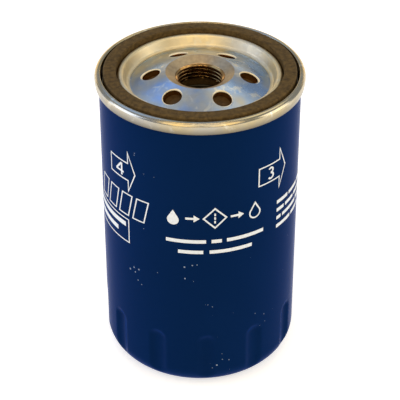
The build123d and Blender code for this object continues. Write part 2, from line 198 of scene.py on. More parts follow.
class FilterColours(PropertyGroup):
    """Colours of the filter's finishes."""

    enamel: FloatVectorProperty(
        name="Enamel",
        description="Baked enamel on the can",
        subtype="COLOR",
        size=4,
        default=linear("#072045"),
    )
    zinc: FloatVectorProperty(
        name="Zinc plate",
        description="Passivated cover ring",
        subtype="COLOR",
        size=4,
        default=linear("#c9b78c"),
    )
    plate_film: FloatVectorProperty(
        name="Plate film",
        description="Passivated tapping plate",
        subtype="COLOR",
        size=4,
        default=linear("#93b0d6"),
    )
    gasket: FloatVectorProperty(
        name="Gasket rubber",
        description="Oiled nitrile gasket",
        subtype="COLOR",
        size=4,
        default=linear("#3d301b"),
    )
    ink: FloatVectorProperty(
        name="Print ink",
        description="Screen-printed marks",
        subtype="COLOR",
        size=4,
        default=linear("#dfe3e6"),
    )
    paper: FloatVectorProperty(
        name="Filter paper",
        description="Resin-treated paper",
        subtype="COLOR",
        size=4,
        default=linear("#c9a86a"),
    )


# ------------------------------------------------------------------ outlines and meshes


def rounded(corners, closed=False, steps=8):
    """Rounds a run of (radius, height, corner radius) corners into plain (radius, height) points."""
    count = len(corners)
    points = []
    for i, (x, z, bend) in enumerate(corners):
        if not closed and i in (0, count - 1) or bend <= 0:
            points.append(Vector((x, z)))
            continue
        here = Vector((x, z))
        back = (Vector(corners[i - 1][:2]) - here).normalized()
        ahead = (Vector(corners[(i + 1) % count][:2]) - here).normalized()
        half = acos(max(-1.0, min(1.0, back.dot(ahead)))) / 2
        reach = bend / tan(half)
        centre = here + (back + ahead).normalized() * (bend / sin(half))
        first = here + back * reach - centre
        last = here + ahead * reach - centre
        turn = first.angle_signed(last)
        for step in range(steps + 1):
            points.append(centre + Matrix.Rotation(-turn * step / steps, 2) @ first)
    return points


def sheet_outline(path, thickness):
    """Closed outline of a sheet of even thickness that follows an open path."""
    left, right = [], []
    for i, point in enumerate(path):
        before = path[max(i - 1, 0)]
        after = path[min(i + 1, len(path) - 1)]
        along = (after - before).normalized()
        side = Vector((-along.y, along.x)) * thickness / 2
        left.append(point + side)
        right.append(point - side)
    for i, point in enumerate(path):
        if abs(point.x) < 1e-9:
            left[i].x = right[i].x = 0.0
    return left + right[::-1]


def densified(path, spacing, low, high):
    """Adds points to a path where it runs between two heights, no further apart than the spacing."""
    result = [path[0]]
    for before, after in zip(path, path[1:]):
        inside = min(before.y, after.y) < high and max(before.y, after.y) > low
        pieces = ceil((after - before).length / spacing) if inside else 1
        result += [before.lerp(after, (n + 1) / pieces) for n in range(pieces)]
    return result


def finished(name, mesh_data, material, sharp=32):
    """Turns a bmesh into a smooth-shaded object with its corners kept crisp."""
    bmesh.ops.remove_doubles(mesh_data, verts=mesh_data.verts, dist=2e-7)
    bmesh.ops.dissolve_degenerate(mesh_data, edges=mesh_data.edges, dist=1e-8)
    bmesh.ops.recalc_face_normals(mesh_data, faces=mesh_data.faces)
    mesh = bpy.data.meshes.new(name)
    mesh_data.to_mesh(mesh)
    mesh_data.free()
    mesh.shade_smooth()
    mesh.set_sharp_from_angle(angle=radians(sharp))
    piece = bpy.data.objects.new(name, mesh)
    bpy.context.collection.objects.link(piece)
    mesh.materials.append(material)
    return piece


def spun(name, outline, material, columns=256, dents=None, sharp=32):
    """Spins a closed outline round the axis; dents gives how far each point moves inwards at an angle."""
    mesh_data = bmesh.new()
    rings = []
    for column in range(columns):
        angle = 2 * pi * column / columns
        ring = []
        moves = dents(angle) if dents else [0.0] * len(outline)
        for (r, z), move in zip(outline, moves):
            radius = r - move
            ring.append(mesh_data.verts.new((radius * cos(angle), radius * sin(angle), z)))
        rings.append(ring)
    for column in range(columns):
        here, beyond = rings[column], rings[(column + 1) % columns]
        for i in range(len(outline)):
            j = (i + 1) % len(outline)
            if outline[i][0] > 1e-9 or outline[j][0] > 1e-9:
                mesh_data.faces.new((here[i], here[j], beyond[j], beyond[i]))
    return finished(name, mesh_data, material, sharp)


def coil(name, material, foot, top, foot_radius, top_radius, wire, turns):
    """A compression spring with its end turns closed up and ground flat."""
    closed_turns = 0.7
    start, rise = foot + 0.6 * wire, top - foot - 1.2 * wire
    closed_rise = closed_turns * 1.6 * wire
    steps = int(turns * 48)
    mesh_data = bmesh.new()
    rings = []
    for step in range(steps + 1):
        turn = turns * step / steps
        if turn < closed_turns:
            height = closed_rise * (turn / closed_turns) ** 1.5
        elif turn > turns - closed_turns:
            height = rise - closed_rise * ((turns - turn) / closed_turns) ** 1.5
        else:
            share = (turn - closed_turns) / (turns - 2 * closed_turns)
            height = closed_rise + (rise - 2 * closed_rise) * share
        radius = foot_radius + (top_radius - foot_radius) * height / rise
        out = Vector((cos(2 * pi * turn), sin(2 * pi * turn), 0))
        centre = out * radius + Vector((0, 0, start + height))
        ring = []
        for side in range(16):
            around = 2 * pi * side / 16
            point = centre + out * wire * cos(around) + Vector((0, 0, wire * sin(around)))
            point.z = min(max(point.z, foot), top)
            ring.append(mesh_data.verts.new(point))
        rings.append(ring)
    for here, beyond in zip(rings, rings[1:]):
        for side in range(16):
            other = (side + 1) % 16
            mesh_data.faces.new((here[side], here[other], beyond[other], beyond[side]))
    mesh_data.faces.new(rings[0])
    mesh_data.faces.new(rings[-1])
    return finished(name, mesh_data, material, sharp=50)


# ------------------------------------------------------------------ materials


def add_node(material, kind, links=None, **settings):
    """Adds one shader node; links maps its inputs to values or to other nodes' outputs."""
    node = material.node_tree.nodes.new(kind)
    for key, value in settings.items():
        setattr(node, key, value)
    for key, value in (links or {}).items():
        if isinstance(value, bpy.types.NodeSocket):
            material.node_tree.links.new(value, node.inputs[key])
        else:
            node.inputs[key].default_value = value
    return node


def new_material(name):
    """An empty node material, and its object coordinates."""
    material = bpy.data.materials.new(name)
    material.use_nodes = True
    material.node_tree.nodes.clear()
    return material, add_node(material, "ShaderNodeTexCoord").outputs["Object"]


def per_mm(size):
    """Noise scale that gives features about this many millimetres across."""
    return 1 / (size * mm)


def noise(material, place, size, detail, extra=None):
    """Noise with features about this many millimetres across."""
    links = {"Vector": place, "Scale": per_mm(size), "Detail": detail, **(extra or {})}
    return add_node(material, "ShaderNodeTexNoise", links).outputs["Fac"]


def cells(material, place, size):
    """Random cells about this many millimetres across."""
    return add_node(
        material, "ShaderNodeTexVoronoi", {"Vector": place, "Scale": per_mm(size), "Randomness": 1.0}
    )


def ranged(material, value, source, target):
    """Maps a value from one (low, high) range to another, and holds it at the ends."""
    links = {"Value": value, "From Min": source[0], "From Max": source[1]}
    links.update({"To Min": target[0], "To Max": target[1]})
    return add_node(material, "ShaderNodeMapRange", links).outputs["Result"]


def blended(material, share, first, second):
    """Goes from one colour to another as the share goes from 0 to 1."""
    links = {"Factor": share, 6: first, 7: second}
    return add_node(material, "ShaderNodeMix", links, data_type="RGBA").outputs[2]


def bumped(material, height, strength, relief):
    """Normals of a relief this many millimetres deep."""
    links = {"Height": height, "Strength": strength, "Distance": relief * mm}
    return add_node(material, "ShaderNodeBump", links).outputs["Normal"]


def shaded(material, inputs):
    """Gives the material a surface whose shader has these inputs."""
    shader = add_node(material, "ShaderNodeBsdfPrincipled", inputs)
    add_node(material, "ShaderNodeOutputMaterial", {"Surface": shader.outputs["BSDF"]})
    return material


def gloss_enamel(name, colour):
    """Baked gloss enamel on drawn steel: deep colour, slight orange peel, specks of dust."""
    material, place = new_material(name)
    # slow drift of the colour, as thin and thick coats give
    drift = noise(material, place, 45, 2.0)
    tint = blended(material, drift, tuple(c * 0.72 for c in colour[:3]) + (1.0,), colour)
    # pale dust, drawn about 0.4 mm across so that it shows, in loose patches
    specks = cells(material, place, 2.4).outputs["Distance"]
    patch = ranged(material, noise(material, place, 14, 2.0), (0.56, 0.72), (0.0, 0.16))
    dust = add_node(material, "ShaderNodeMath", {0: specks, 1: patch}, operation="LESS_THAN")
    dusted = blended(material, dust.outputs["Value"], tint, linear("#7f8a9c"))
    # orange peel about 0.9 mm across
    peel = noise(material, place, 1.8, 3.0)
    return shaded(
        material,
        {
            "Base Color": dusted,
            "Roughness": ranged(material, drift, (0.0, 1.0), (0.16, 0.24)),
            "IOR": 1.5,
            "Specular IOR Level": 0.004,
            "Specular Tint": linear("#5cabff"),
            # painted reflection: the blue sheen here and the blue specular tint above stand in for blue
            # light reflected where the wall turns away
            "Sheen Weight": 0.30,
            "Sheen Roughness": 0.45,
            "Sheen Tint": linear("#1d5fe0"),
            "Normal": bumped(material, peel, 0.10, 0.05),
        },
    )


def zinc_plate(name, film, thin_film, patch, rough_low, rough_high, shade_foot_level=0.0):
    """Zinc plate on pressed steel: soft mirror, drifting passivate tint, spangle and rub marks."""
    material, place = new_material(name)
    cloud = noise(material, place, patch, 3.0)
    # the film's interference tint, which shifts where it is thinner
    tint = blended(material, ranged(material, cloud, (0.38, 0.62), (0.0, 1.0)), film, thin_film)
    # zinc spangle, crystals about 2 mm across
    spangle = cells(material, place, 2.2).outputs["Color"]
    stain = blended(material, ranged(material, spangle, (0.0, 1.0), (0.0, 0.22)), tint, linear("#8d8a83"))
    # pale rub marks, a few millimetres long
    rubs = noise(material, place, 4.5, 5.0, {"Distortion": 0.6})
    worn = blended(material, ranged(material, rubs, (0.60, 0.68), (0.0, 0.55)), stain, linear("#e2ddcd"))
    # painted shade: the seam's foot is darkened towards its bottom edge, where the seam curves under
    height = add_node(material, "ShaderNodeSeparateXYZ", {"Vector": place}).outputs["Z"]
    foot_shade_strength = 0.95 if shade_foot_level else 0.0
    painted_foot_shade = ranged(material, height, (shade_foot_level, shade_foot_level + 3.7 * mm), (foot_shade_strength, 0.0))
    # grain of the rolled sheet, about 0.5 mm
    grain = noise(material, place, 0.9, 5.0)
    return shaded(
        material,
        {
            "Base Color": blended(material, painted_foot_shade, worn, linear("#5c574e")),
            "Metallic": 1.0,
            "Roughness": ranged(material, cloud, (0.3, 0.7), (rough_low, rough_high)),
            "Normal": bumped(material, grain, 0.22, 0.05),
        },
    )


def moulded_rubber(name, colour, light, roughness):
    """Moulded nitrile rubber with a film of oil: dark, slightly mottled, fine grain."""
    material, place = new_material(name)
    mottle = noise(material, place, 1.6, 6.0, {"Roughness": 0.7})
    share = ranged(material, mottle, (0.34, 0.66), (0.0, 1.0))
    grain = noise(material, place, 0.5, 4.0)
    return shaded(
        material,
        {
            "Base Color": blended(material, share, colour, light),
            "Roughness": ranged(material, mottle, (0.0, 1.0), (roughness - 0.12, roughness + 0.12)),
            "IOR": 1.52,
            "Specular IOR Level": 0.12,
            "Normal": bumped(material, grain, 0.35, 0.06),
        },
    )


def plain_surface(name, colour, dark, roughness, grain_size, relief, metallic):
    """A finish with even grain: ink, paper, potting, wire or bare steel."""
    material, place = new_material(name)
    grain = noise(material, place, grain_size, 4.0)
    return shaded(
        material,
        {
            "Base Color": blended(material, grain, colour, dark),
            "Metallic": metallic,
            "Roughness": roughness,
            "Normal": bumped(material, grain, 0.4, relief),
        },
    )


def finish_named(name):
    """The material for a finish, made the first time that a piece asks for it."""
    found = bpy.data.materials.get(name)
    if found:
        return found
    colours = bpy.context.scene.filter_colours
    makers = {
        # deep blue, with a painted blue reflection at the sides
        "gloss_baked_enamel": (gloss_enamel, tuple(colours.enamel)),
        # zinc plate: film, thin film, patch in mm, least and most roughness, level of the foot's painted
        # shade
        # warm bright seam, with painted shade darkening it towards its foot
        "zinc_plated_cover": (
            zinc_plate, tuple(colours.zinc), linear("#b9b5aa"), 16, 0.16, 0.26, SEAM_FOOT
        ),
        # satin inside the gasket, where the die has scuffed the pressing; its gold is paler and brighter
        # than the cover's, painted light for the glow the bowl catches
        "zinc_plated_bead": (zinc_plate, linear("#efdcae"), linear("#e6dcc2"), 16, 0.40, 0.54),
        # cool blue plate with paler patches
        "zinc_plated_plate": (zinc_plate, tuple(colours.plate_film), linear("#c4bfae"), 13, 0.24, 0.38),
        # rubber: colour, light mottle, roughness
        # brown-black, matt and faintly mottled
        "oiled_nitrile_gasket": (moulded_rubber, tuple(colours.gasket), linear("#66522f"), 0.66),
        # brown, with a slight shine, seen through the inlets
        "moulded_nitrile_valve": (moulded_rubber, linear("#59452a"), linear("#3b2c18"), 0.5),
        # plain: colour, darker tint, roughness, grain and relief in mm, metallic
        # dull tan ring round the thread
        "countersunk_steel": (
            plain_surface, linear("#c9b694"), linear("#95826a"), 0.44, 1.3, 0.06, 1.0
        ),
        # gold lights on the thread's crests, over dark grooves
        "tapped_thread_steel": (
            plain_surface, linear("#e0b474"), linear("#80592c"), 0.17, 1.2, 0.03, 1.0
        ),
        # pale line round each inlet, a painted highlight on the rims' rounding
        "burnished_rim": (plain_surface, linear("#fff6dc"), linear("#ece0bd"), 0.45, 0.9, 0.03, 0.2),
        # painted shade: a darker copy of the tinplate, for the metal seen in shadow behind the inlets and
        # the thread
        "oiled_end_cap": (plain_surface, linear("#4b463c"), linear("#2f2b24"), 0.5, 3.0, 0.02, 1.0),
        # flat off-white marks
        "screen_print_ink": (
            plain_surface, tuple(colours.ink), linear("#c2c8ce"), 0.45, 0.8, 0.02, 0.0
        ),
        # matt fibrous tan
        "resin_treated_paper": (
            plain_surface, tuple(colours.paper), linear("#a98749"), 0.9, 0.6, 0.08, 0.0
        ),
        # honey-coloured, uneven and half glossy
        "cured_potting": (plain_surface, linear("#b98f4a"), linear("#8c682f"), 0.4, 2.5, 0.1, 0.0),
        # dark grey filler
        "cured_seam_compound": (
            plain_surface, linear("#4c4a45"), linear("#2f2d29"), 0.6, 1.0, 0.05, 0.0
        ),
        # drawn grey wire with a soft light along it
        "drawn_spring_wire": (
            plain_surface, linear("#9a9790"), linear("#6f6c66"), 0.34, 0.7, 0.02, 1.0
        ),
        # smooth grey metal
        "bright_tinplate": (plain_surface, linear("#8b8982"), linear("#66635b"), 0.38, 3.0, 0.02, 1.0),
    }
    maker, *values = makers[name]
    return maker(name, *values)


# ------------------------------------------------------------------ pieces


class FILTER_OT_can(Operator):
    """Draws the fluted can with its hook in the seam."""

    bl_idname = "filter.can"
    bl_label = "Can"

    def execute(self, context):
        sizes = context.scene.filter_sizes
        sheet, radius = sizes.can_sheet, sizes.can_radius
        middle = radius - sheet / 2
        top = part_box("can")[1][2] - sheet / 2
        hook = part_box("can")[1][0] - sheet / 2
        bend = (hook - middle) / 2 - 0.01 * mm
        seam_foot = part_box("cover_ring")[1][2] - sizes.seam_height
        hook_end = seam_foot + sizes.cover_sheet / 2 + sizes.taper_height
        panel = sizes.panel_depth + sheet / 2
        path = rounded(
            [
                (0, panel, 0),
                (sizes.panel_radius, panel, 1.2 * mm),
                (sizes.panel_radius + 2.0 * mm, sheet / 2, 1.2 * mm),
                (middle, sheet / 2, sizes.can_corner - sheet / 2),
                (middle, top, bend),
                (hook, top, bend),
                (hook, hook_end, 0),
            ],
            steps=16,
        )
        path = densified(path, 0.55 * mm, 1.0 * mm, sizes.flute_top + 2 * mm)
        curve = (sizes.flute_width**2 / 4 + sizes.flute_depth**2) / (2 * sizes.flute_depth)
        flute_end = sizes.flute_top - sizes.flute_width / 2
        soft = 0.55 * mm
        spacing = 2 * pi / sizes.flute_count
        high = sizes.flute_top + 3 * mm

        def dent(r, z, across):
            """How far a flute pushes the sheet inwards at a point beside its middle."""
            if z > high or r < radius - sizes.can_corner:
                return 0.0
            reach = hypot(across, max(0.0, z - flute_end))
            if reach >= curve:
                return 0.0
            outside = r + sheet / 2
            wall = radius - sizes.flute_depth + curve - sqrt(curve**2 - reach**2)
            lean = max(soft - abs(outside - wall), 0.0) / soft
            return outside - (min(outside, wall) - lean**2 * soft / 4)

        def dents(angle):
            """The same push for the outer and the inner face of the sheet."""
            turn = (angle - sizes.flute_phase) % spacing
            across = (turn if turn < spacing / 2 else turn - spacing) * radius
            moves = [dent(r, z, across) for r, z in path]
            return moves + moves[::-1]

        piece = spun(
            "can_shell",
            sheet_outline(path, sheet),
            finish_named("gloss_baked_enamel"),
            columns=540,
            dents=dents,
            sharp=60,
        )
        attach(piece, "housing")
        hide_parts("can")
        return {"FINISHED"}


class FILTER_OT_cover_ring(Operator):
    """Draws the seamed cover ring with the gasket's groove."""

    bl_idname = "filter.cover_ring"
    bl_label = "Cover ring"

    def execute(self, context):
        sizes = context.scene.filter_sizes
        sheet, gap = sizes.cover_sheet, 0.02 * mm
        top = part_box("cover_ring")[1][2] - sheet / 2
        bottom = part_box("cover_ring")[1][2] - sizes.seam_height + sheet / 2
        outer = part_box("cover_ring")[1][0] - sheet / 2
        hook = sizes.can_radius + gap + sheet / 2
        chuck = sizes.can_radius - sizes.can_sheet - gap - sheet / 2
        foot = outer - sizes.seam_taper
        shoulder = sizes.seam_crown
        floor_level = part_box("mounting_gasket")[0][2] - sheet / 2
        bead = bead_wall(sizes)
        bead_top = floor_level + sizes.bead_height
        bead_foot = bead - sizes.bead_crown - sizes.bead_slope
        path = rounded(
            [
                (hook, top - shoulder - 0.5 * mm, 0),
                (hook, bottom, (foot - hook) / 2 - 0.01 * mm),
                (foot, bottom, (foot - hook) / 2 - 0.01 * mm),
                (outer, bottom + sizes.taper_height, 2.5 * mm),
                (outer, top, shoulder - 0.01 * mm),
                (chuck, top, outer - chuck - shoulder - 0.01 * mm),
                (chuck, floor_level, 0.7 * mm),
                (bead, floor_level, 0.7 * mm),
                (bead, bead_top, 0.75 * mm),
                (bead - sizes.bead_crown, bead_top, 0.8 * mm),
                (bead_foot, floor_level, 1.5 * mm),
                (bead_foot - sizes.mouth_lip, floor_level, 0),
            ],
            steps=10,
        )
        piece = spun(
            "seamed_cover_ring",
            sheet_outline(path, sheet),
            finish_named("zinc_plated_cover"),
            columns=360,
            sharp=60,
        )
        # inside the gasket the pressing is satin, in a brighter copy of the zinc that paints in the light
        # the bowl catches
        piece.data.materials.append(finish_named("zinc_plated_bead"))
        for face in piece.data.polygons:
            if hypot(face.center.x, face.center.y) < bead + sheet:
                face.material_index = 1
        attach(piece, "housing")
        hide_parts("cover_ring")
        return {"FINISHED"}


class FILTER_OT_gasket(Operator):
    """Draws the rubber mounting gasket."""

    bl_idname = "filter.gasket"
    bl_label = "Mounting gasket"

    def execute(self, context):
        sizes = context.scene.filter_sizes
        edge = sizes.gasket_edge
        (_, _, bottom), (outer, _, top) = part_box("mounting_gasket")
        inner = outer - sizes.gasket_width
        outline = rounded(
            [
                (inner, bottom, edge),
                (outer, bottom, edge),
                (outer, top, sizes.gasket_shoulder),
                (inner, top, edge),
            ],
            closed=True,
            steps=8,
        )
        piece = spun(
            "rubber_gasket",
            outline,
            finish_named("oiled_nitrile_gasket"),
            columns=300,
            sharp=60,
        )
        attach(piece, "housing")
        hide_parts("mounting_gasket")
        return {"FINISHED"}


class FILTER_OT_tapping_plate(Operator):
    """Draws the thick plate with its threaded hole and oil inlets."""

    bl_idname = "filter.tapping_plate"
    bl_label = "Tapping plate"

    def execute(self, context):
        sizes = context.scene.filter_sizes
        (_, _, low), (plate_radius, _, ring_level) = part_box("tapping_plate")
        major, minor, pitch = sizes.thread_major, sizes.thread_minor, sizes.thread_pitch
        flange = ring_level - sizes.ring_height
        cone_radius = cone_foot(sizes)
        slope = sizes.ring_height / (cone_radius - sizes.ring_radius)
        drop = sizes.plate_sheet * sqrt(1 + slope**2)
        funnel = ring_level - sizes.funnel_depth
        funnel_slope = (sizes.ring_radius - major) / sizes.funnel_depth
        collar = major + COLLAR_WALL
        columns, rows = 360, 24

        def bore(angle, z):
            """Radius of the threaded bore: a helical groove, opened out at both ends."""
            turn = (angle / (2 * pi) + (funnel - z) / pitch) % 1.0
            crest = min(max((abs(turn - 0.5) - 0.125) / 0.3125, 0.0), 1.0)
            thread = minor + (major - minor) * crest
            return max(thread, major + (z - funnel) * funnel_slope, major + 0.1 * mm - (z - low))

        outline = rounded(
            [
                (collar, low, 0.3 * mm),
                (collar, flange + (cone_radius - collar) * slope - drop, 1.0 * mm),
                (cone_radius - (drop - sizes.plate_sheet) / slope, flange - sizes.plate_sheet, 2.0 * mm),
                (plate_radius, flange - sizes.plate_sheet, 0.3 * mm),
                (plate_radius, flange, 0.3 * mm),
                (cone_radius, flange, 1.2 * mm),
                (sizes.ring_radius, ring_level, 0.25 * mm),
                (major, funnel, 0.3 * mm),
            ],
            closed=True,
            steps=6,
        )
        outline = [p for p in outline if p.x > major or p.y > funnel]
        outline = densified(outline, 0.8 * mm, flange + 0.2 * mm, ring_level)
        last = ceil(((funnel - low) / pitch + 1) * rows)
        mesh_data = bmesh.new()
        rings = []
        for column in range(columns):
            angle = 2 * pi * column / columns
            profile = []
            for row in range(last + 1):
                z = funnel + pitch * (column / columns - row / rows)
                z = min(max(z, low), funnel)
                profile.append((bore(angle, z), z))
            profile += [tuple(p) for p in outline]
            rings.append(
                [mesh_data.verts.new((r * cos(angle), r * sin(angle), z)) for r, z in profile]
            )
        size = last + 1 + len(outline)
        for column in range(columns):
            here, beyond = rings[column], rings[(column + 1) % columns]
            shift = rows if column == columns - 1 else 0
            for i in range(size):
                j = (i + 1) % size
                far_i = max(i - shift, 0) if i <= last else i
                far_j = max(j - shift, 0) if j <= last else j
                corners = (here[i], here[j], beyond[far_j], beyond[far_i])
                if len(set(corners)) == 4:
                    mesh_data.faces.new(corners)
                elif len(set(corners)) == 3:
                    mesh_data.faces.new(tuple(dict.fromkeys(corners)))
        plate = finished(
            "threaded_plate",
            mesh_data,
            finish_named("zinc_plated_plate"),
            sharp=28,
        )
        # inlets, square to the cone, each with a rolled-over rim
        reach, edge = sizes.inlet_radius, INLET_RIM
        rim = [
            Vector((reach + edge * (1 - cos(pi / 2 * n / 6)), -edge * (1 - sin(pi / 2 * n / 6))))
            for n in range(7)
        ]
        side = [Vector((0, -6 * mm)), Vector((reach, -6 * mm))]
        mouth = [Vector((reach + edge, 2 * mm)), Vector((0, 2 * mm))]
        tilt = Vector((slope, 0, 1)).to_track_quat("Z", "Y").to_matrix().to_4x4()
        centre = Vector((sizes.inlet_circle, 0, flange + (cone_radius - sizes.inlet_circle) * slope))
        turns = [sizes.inlet_phase + 2 * pi * n / sizes.inlet_count for n in range(sizes.inlet_count)]
        inlets = [Matrix.Rotation(turn, 4, "Z") @ Matrix.Translation(centre) @ tilt for turn in turns]
        cutters = []
        for inlet in inlets:
            cutter = spun("inlet_cutter", side + rim + mouth, plate.data.materials[0], 96)
            cutter.matrix_world = inlet
            cut = plate.modifiers.new("inlet", "BOOLEAN")
            cut.object = cutter
            cut.operation = "DIFFERENCE"
            cut.solver = "EXACT"
            cutters.append(cutter)
        bpy.context.view_layer.update()
        evaluated = plate.evaluated_get(bpy.context.evaluated_depsgraph_get())
        mesh = bpy.data.meshes.new_from_object(evaluated)
        plate.modifiers.clear()
        plate.data = mesh
        mesh.shade_smooth()
        mesh.set_sharp_from_angle(angle=radians(28))
        for cutter in cutters:
            bpy.data.objects.remove(cutter, do_unlink=True)
        # the countersink, the thread and the inlets' walls are bare steel, and the inlets' rims get a
        # near-white painted highlight
        for finish in ("countersunk_steel", "tapped_thread_steel", "burnished_rim"):
            mesh.materials.append(finish_named(finish))
        inlets = [inlet.inverted() for inlet in inlets]
        for face in mesh.polygons:
            out = hypot(face.center.x, face.center.y)
            if out < major + 0.15 * mm and face.center.z < funnel + 0.1 * mm:
                face.material_index = 2
            elif out < sizes.ring_radius - 0.1 * mm and face.center.z > funnel - 0.1 * mm:
                face.material_index = 1
            for inlet in inlets:
                spot = inlet @ face.center
                if hypot(spot.x, spot.y) < reach + edge + 0.02 * mm:
                    lean = (inlet.to_3x3() @ face.normal).z
                    face.material_index = 2 if lean < 0.1 else 3 if lean < 0.996 else 0
        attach(plate, "housing")
        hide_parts("tapping_plate")
        return {"FINISHED"}


def bead_wall(sizes):
    """Radius of the middle of the sheet in the bead's outer wall, inside the gasket."""
    gasket_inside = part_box("mounting_gasket")[1][0] - sizes.gasket_width
    return gasket_inside - sizes.gasket_gap - sizes.cover_sheet / 2


def cone_foot(sizes):
    """Radius where the plate's cone starts, inside the cover ring's lip."""
    return bead_wall(sizes) - sizes.bead_crown - sizes.bead_slope - sizes.mouth_lip - sizes.cone_gap


class FILTER_OT_valve(Operator):
    """Draws the anti-drain valve's rubber ring under the inlets."""

    bl_idname = "filter.valve"
    bl_label = "Anti-drain valve"

    def execute(self, context):
        sizes = context.scene.filter_sizes
        (_, _, low), (outer, _, high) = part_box("anti_drain_valve")
        bore = sizes.thread_major + COLLAR_WALL + VALVE_BORE_GAP
        slope = sizes.ring_height / (cone_foot(sizes) - sizes.ring_radius)
        drop = VALVE_SHEET * sqrt(1 + slope**2)
        rise = (outer - bore) * slope
        outline = rounded(
            [
                (bore, high - drop, 0.25 * mm),
                (outer, high - rise - drop, 0.4 * mm),
                (outer, high - rise, 0.3 * mm),
                (bore, high, 0.25 * mm),
            ],
            closed=True,
            steps=5,
        )
        piece = spun(
            "valve_ring",
            outline,
            finish_named("moulded_nitrile_valve"),
            columns=192,
            sharp=50,
        )
        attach(piece, "anti_drain_ring")
        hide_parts("anti_drain_valve")
        return {"FINISHED"}


class FILTER_OT_springs(Operator):
    """Draws the three coil springs with closed, ground ends."""

    bl_idname = "filter.springs"
    bl_label = "Springs"

    def execute(self, context):
        wire = finish_named("drawn_spring_wire")
        springs = [
            # name, node, body, joint, foot radius, top radius, wire, turns, which end stays
            ("element_spring", "support_spring", "housing", "element_float", 21.0, 14.0, 1.0, 3.5, 0),
            ("bypass_coil", "bypass_spring", "element", "bypass_lift", 6.0, 6.0, 0.45, 4.5, 1),
            ("valve_coil", "anti_drain_spring", "element", "anti_drain_lift", 14.2, 14.2, 0.35, 2.5, 0),
        ]
        for name, node, body, joint, foot_radius, top_radius, thick, turns, held in springs:
            (_, _, foot), (_, _, top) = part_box(node)
            piece = coil(name, wire, foot, top, foot_radius * mm, top_radius * mm, thick * mm, turns)
            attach(piece, body)
            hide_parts(node)
            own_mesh(piece)
        return {"FINISHED"}


class FILTER_OT_element(Operator):
    """Gives the element's CAD pieces their finishes."""

    bl_idname = "filter.element"
    bl_label = "Element and bypass valve"

    def execute(self, context):
        finishes = {
            "seam_sealant": "cured_seam_compound",
            "element_seal": "moulded_nitrile_valve",
            # the top end cap and the centre tube, seen behind the inlets and the thread, take the
            # painted-shade copy of the tinplate
            "top_end_cap": "oiled_end_cap",
            "bottom_end_cap": "bright_tinplate",
            "upper_potting": "cured_potting",
            "lower_potting": "cured_potting",
            "pleated_media": "resin_treated_paper",
            "media_clip": "bright_tinplate",
            "centre_tube": "oiled_end_cap",
            "bypass_cage": "bright_tinplate",
            "bypass_face_seal": "moulded_nitrile_valve",
            "bypass_disc": "bright_tinplate",
            "bypass_stem": "bright_tinplate",
        }
        for node, finish in finishes.items():
            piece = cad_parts[node]
            material = finish_named(finish)
            if piece.material_slots:
                for slot in piece.material_slots:
                    slot.material = material
            else:
                piece.data.materials.append(material)
        return {"FINISHED"}


# ------------------------------------------------------------------ screen print


def printed(name, shapes, radius, ink):
    """Lays flat (across, height) shapes, each a list of loops, on the can as a thin coat of ink."""
    flat = bmesh.new()
    for loops in shapes:
        curve = bpy.data.curves.new("ink_outline", "CURVE")
        curve.dimensions = "2D"
        curve.fill_mode = "BOTH"
        for loop in loops:
            spline = curve.splines.new("POLY")
            spline.points.add(len(loop) - 1)
            for point, (across, height) in zip(spline.points, loop):
                point.co = (across * 1000, height * 1000, 0, 1)
            spline.use_cyclic_u = True
        outline = bpy.data.objects.new("ink_outline", curve)
        bpy.context.collection.objects.link(outline)
        bpy.context.view_layer.update()
        filled = bpy.data.meshes.new_from_object(
            outline.evaluated_get(bpy.context.evaluated_depsgraph_get())
        )
        flat.from_mesh(filled)
        bpy.data.objects.remove(outline, do_unlink=True)
        bpy.data.curves.remove(curve)
        bpy.data.meshes.remove(filled)
    bmesh.ops.remove_doubles(flat, verts=flat.verts, dist=1e-4)
    spread = [v.co.x for v in flat.verts]
    for cut in range(ceil(min(spread)), floor(max(spread)) + 1):
        bmesh.ops.bisect_plane(
            flat,
            geom=flat.verts[:] + flat.edges[:] + flat.faces[:],
            plane_co=(cut, 0, 0),
            plane_no=(1, 0, 0),
            dist=1e-5,
        )
    coat = bmesh.ops.extrude_face_region(flat, geom=flat.faces[:])
    lifted = {item for item in coat["geom"] if isinstance(item, bmesh.types.BMVert)}
    for vert in flat.verts:
        angle = vert.co.x * mm / radius
        reach = radius + (INK_FACE if vert in lifted else INK_FOOT)
        vert.co = (reach * sin(angle), -reach * cos(angle), vert.co.y * mm)
    piece = finished(name, flat, ink, sharp=30)
    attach(piece, "housing")
    return piece


def bar(left, right, low, high, lean=0.0):
    """A plain bar; lean moves its top to the right."""
    return [[(left, low), (right, low), (right + lean, high), (left + lean, high)]]


def band(path, width):
    """A closed outline drawn as a line of even width."""
    outer, inner = [], []
    for i, point in enumerate(path):
        here = Vector(point)
        back = (here - Vector(path[i - 1])).normalized()
        ahead = (Vector(path[(i + 1) % len(path)]) - here).normalized()
        normal = Vector((back.y + ahead.y, -back.x - ahead.x)).normalized()
        reach = width / 2 / max(0.35, normal.dot(Vector((ahead.y, -ahead.x))))
        outer.append(tuple(here + normal * reach))
        inner.append(tuple(here - normal * reach))
    return [outer, inner]


